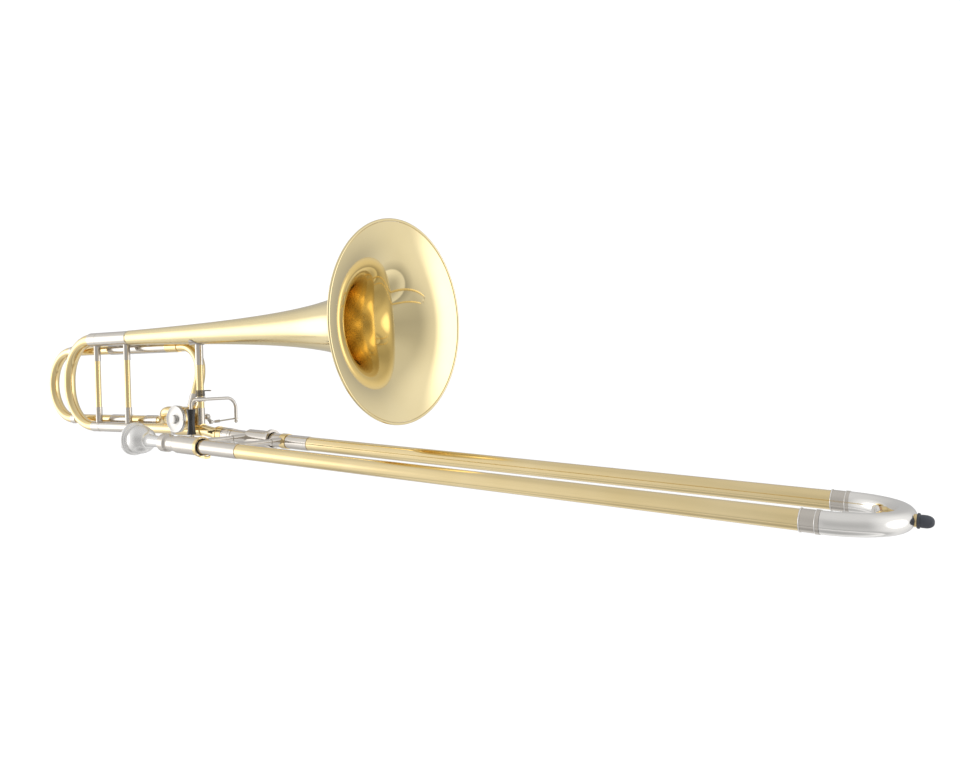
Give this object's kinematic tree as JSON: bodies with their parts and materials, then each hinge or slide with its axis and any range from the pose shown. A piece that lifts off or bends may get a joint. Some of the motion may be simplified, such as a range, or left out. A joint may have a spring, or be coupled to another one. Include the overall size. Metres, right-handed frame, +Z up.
{
  "type": "tenor trombone",
  "caption": "Tenor trombone with a flared bell, hand slide, rotary valve on an open F loop, thumb lever and mouthpiece.",
  "frame": {"origin": "on the axis of the slide's bell-side tube, in the middle of the left hand's grip, between the bell's lock nut and the inner hand brace", "axes": "+X along the slide towards its bow, +Z up in playing position, +Y from the mouthpiece's tube to the bell's tube"},
  "size_m": [1.1876, 0.2249, 0.2649],
  "materials": {
    "lacquered_brass": "bright clear-lacquered yellow brass",
    "nickel_silver": "polished nickel silver",
    "silver_plate": "bright silver plate",
    "black_plastic": "glossy black",
    "black_rubber": "dark slate rubber",
    "cork": "natural cork",
    "felt": "dark red felt"
  },
  "bodies": {
    "inner_slide": {"slide_tenon": "nickel_silver", "cork_barrels": "nickel_silver", "slide_felts": "felt", "inner_hand_brace": "nickel_silver", "inner_brace_sockets": "nickel_silver", "mouthpiece_receiver": "nickel_silver", "inner_slide_tubes": "nickel_silver"},
    "bell_section": {"bell_flare": "lacquered_brass", "bell_rim_wire": "lacquered_brass", "upper_outer_leg": "nickel_silver", "lower_outer_leg": "nickel_silver", "main_tube": "lacquered_brass", "leg_brace": "lacquered_brass", "leg_brace_sockets": "nickel_silver", "grip_brace": "lacquered_brass", "grip_brace_sockets": "nickel_silver", "stem_saddle": "nickel_silver", "f_upper_outer_leg": "nickel_silver", "f_elbow": "lacquered_brass", "f_lower_outer_leg": "nickel_silver", "f_lower_tube": "lacquered_brass", "f_leg_spacers": "nickel_silver", "valve_casing": "lacquered_brass", "valve_ferrules": "nickel_silver", "valve_cap": "nickel_silver", "valve_back_plate": "nickel_silver", "stop_corks": "cork", "neckpipe": "lacquered_brass", "neckpipe_ring": "lacquered_brass", "lever_spring": "nickel_silver"},
    "bell_lock": {"bell_lock_nut": "nickel_silver"},
    "tuning_slide": {"tuning_bow": "lacquered_brass", "tuning_bow_ferrules": "nickel_silver", "tuning_inner_legs": "nickel_silver", "tuning_brace": "lacquered_brass", "tuning_brace_sockets": "nickel_silver"},
    "f_tuning_slide": {"f_tuning_bow": "lacquered_brass", "f_bow_ferrules": "nickel_silver", "f_inner_legs": "lacquered_brass"},
    "rotor": {"rotor_core": "lacquered_brass", "rotor_spindle": "nickel_silver", "stop_arm": "nickel_silver"},
    "thumb_lever": {"lever_hub": "nickel_silver", "lever_rod": "nickel_silver"},
    "lever_roller": {"thumb_roller": "black_plastic"},
    "link": {"lever_link": "nickel_silver"},
    "hand_slide": {"outer_slide_tubes": "lacquered_brass", "slide_sleeves": "nickel_silver", "far_sleeve_collar": "lacquered_brass", "outer_hand_brace": "nickel_silver", "outer_brace_sockets": "nickel_silver", "bow_ferrules": "nickel_silver", "slide_bow": "silver_plate", "bumper_collar": "nickel_silver", "end_bumper": "black_rubber", "water_key_mount": "lacquered_brass"},
    "water_key": {"water_key_lever": "silver_plate", "water_key_cork": "cork"},
    "slide_lock": {"slide_lock_ring": "lacquered_brass"},
    "mouthpiece": {"mouthpiece": "silver_plate"}
  },
  "joints": [
    {"name": "bell_turn", "type": "hinge", "parent": "inner_slide", "child": "bell_section", "pos_m": [-0.038, 0, 0], "axis": [1, 0, 0], "range_deg": [-20, 20]},
    {"name": "lock_nut_turn", "type": "hinge", "parent": "inner_slide", "child": "bell_lock", "pos_m": [-0.026, 0, 0], "axis": [1, 0, 0], "continuous": true},
    {"name": "tuning_pull", "type": "slide", "parent": "bell_section", "child": "tuning_slide", "axis": [-0.9989, 0, -0.0471], "range_m": [0, 0.055]},
    {"name": "f_tuning_pull", "type": "slide", "parent": "bell_section", "child": "f_tuning_slide", "axis": [-0.9989, 0, -0.0471], "range_m": [0, 0.045]},
    {"name": "lever_press", "type": "hinge", "parent": "bell_section", "child": "thumb_lever", "pos_m": [-0.07903, 0, 0.04132], "axis": [-0.0471, 0, 0.9989], "range_deg": [0, 18.3], "stiffness_Nm_per_rad": 0.06, "springref_deg": -17.19},
    {"name": "rotor_turn", "type": "hinge", "parent": "bell_section", "child": "rotor", "pos_m": [-0.09788, 0, 0.01641], "axis": [0, 1, 0], "range_deg": [0, 90]},
    {"name": "link_swing", "type": "hinge", "parent": "thumb_lever", "child": "link", "pos_m": [-0.06878, 0.048, 0.01498], "axis": [-0.0471, 0, 0.9989], "range_deg": [-17.3, 0]},
    {"name": "roller_spin", "type": "hinge", "parent": "thumb_lever", "child": "lever_roller", "pos_m": [-0.06877, -0.022, 0.01478], "axis": [-0.0471, 0, 0.9989], "continuous": true},
    {"name": "hand_slide_travel", "type": "slide", "parent": "inner_slide", "child": "hand_slide", "axis": [1, 0, 0], "range_m": [0, 0.62]},
    {"name": "water_key_lift", "type": "hinge", "parent": "hand_slide", "child": "water_key", "pos_m": [0.7178, -0.057, 0], "axis": [0, 0, 1], "range_deg": [0, 12], "stiffness_Nm_per_rad": 0.02, "springref_deg": -14.32},
    {"name": "slide_lock_turn", "type": "hinge", "parent": "inner_slide", "child": "slide_lock", "pos_m": [0.045, -0.098, 0], "axis": [1, 0, 0], "range_deg": [0, 43]},
    {"name": "mouthpiece_pull", "type": "slide", "parent": "inner_slide", "child": "mouthpiece", "axis": [-1, 0, 0], "range_m": [0, 0.03]}
  ],
  "couplings": [
    {"joint": "rotor_turn", "follows": "lever_press", "ratio": 4.918},
    {"joint": "link_swing", "follows": "lever_press", "ratio": -0.945}
  ]
}
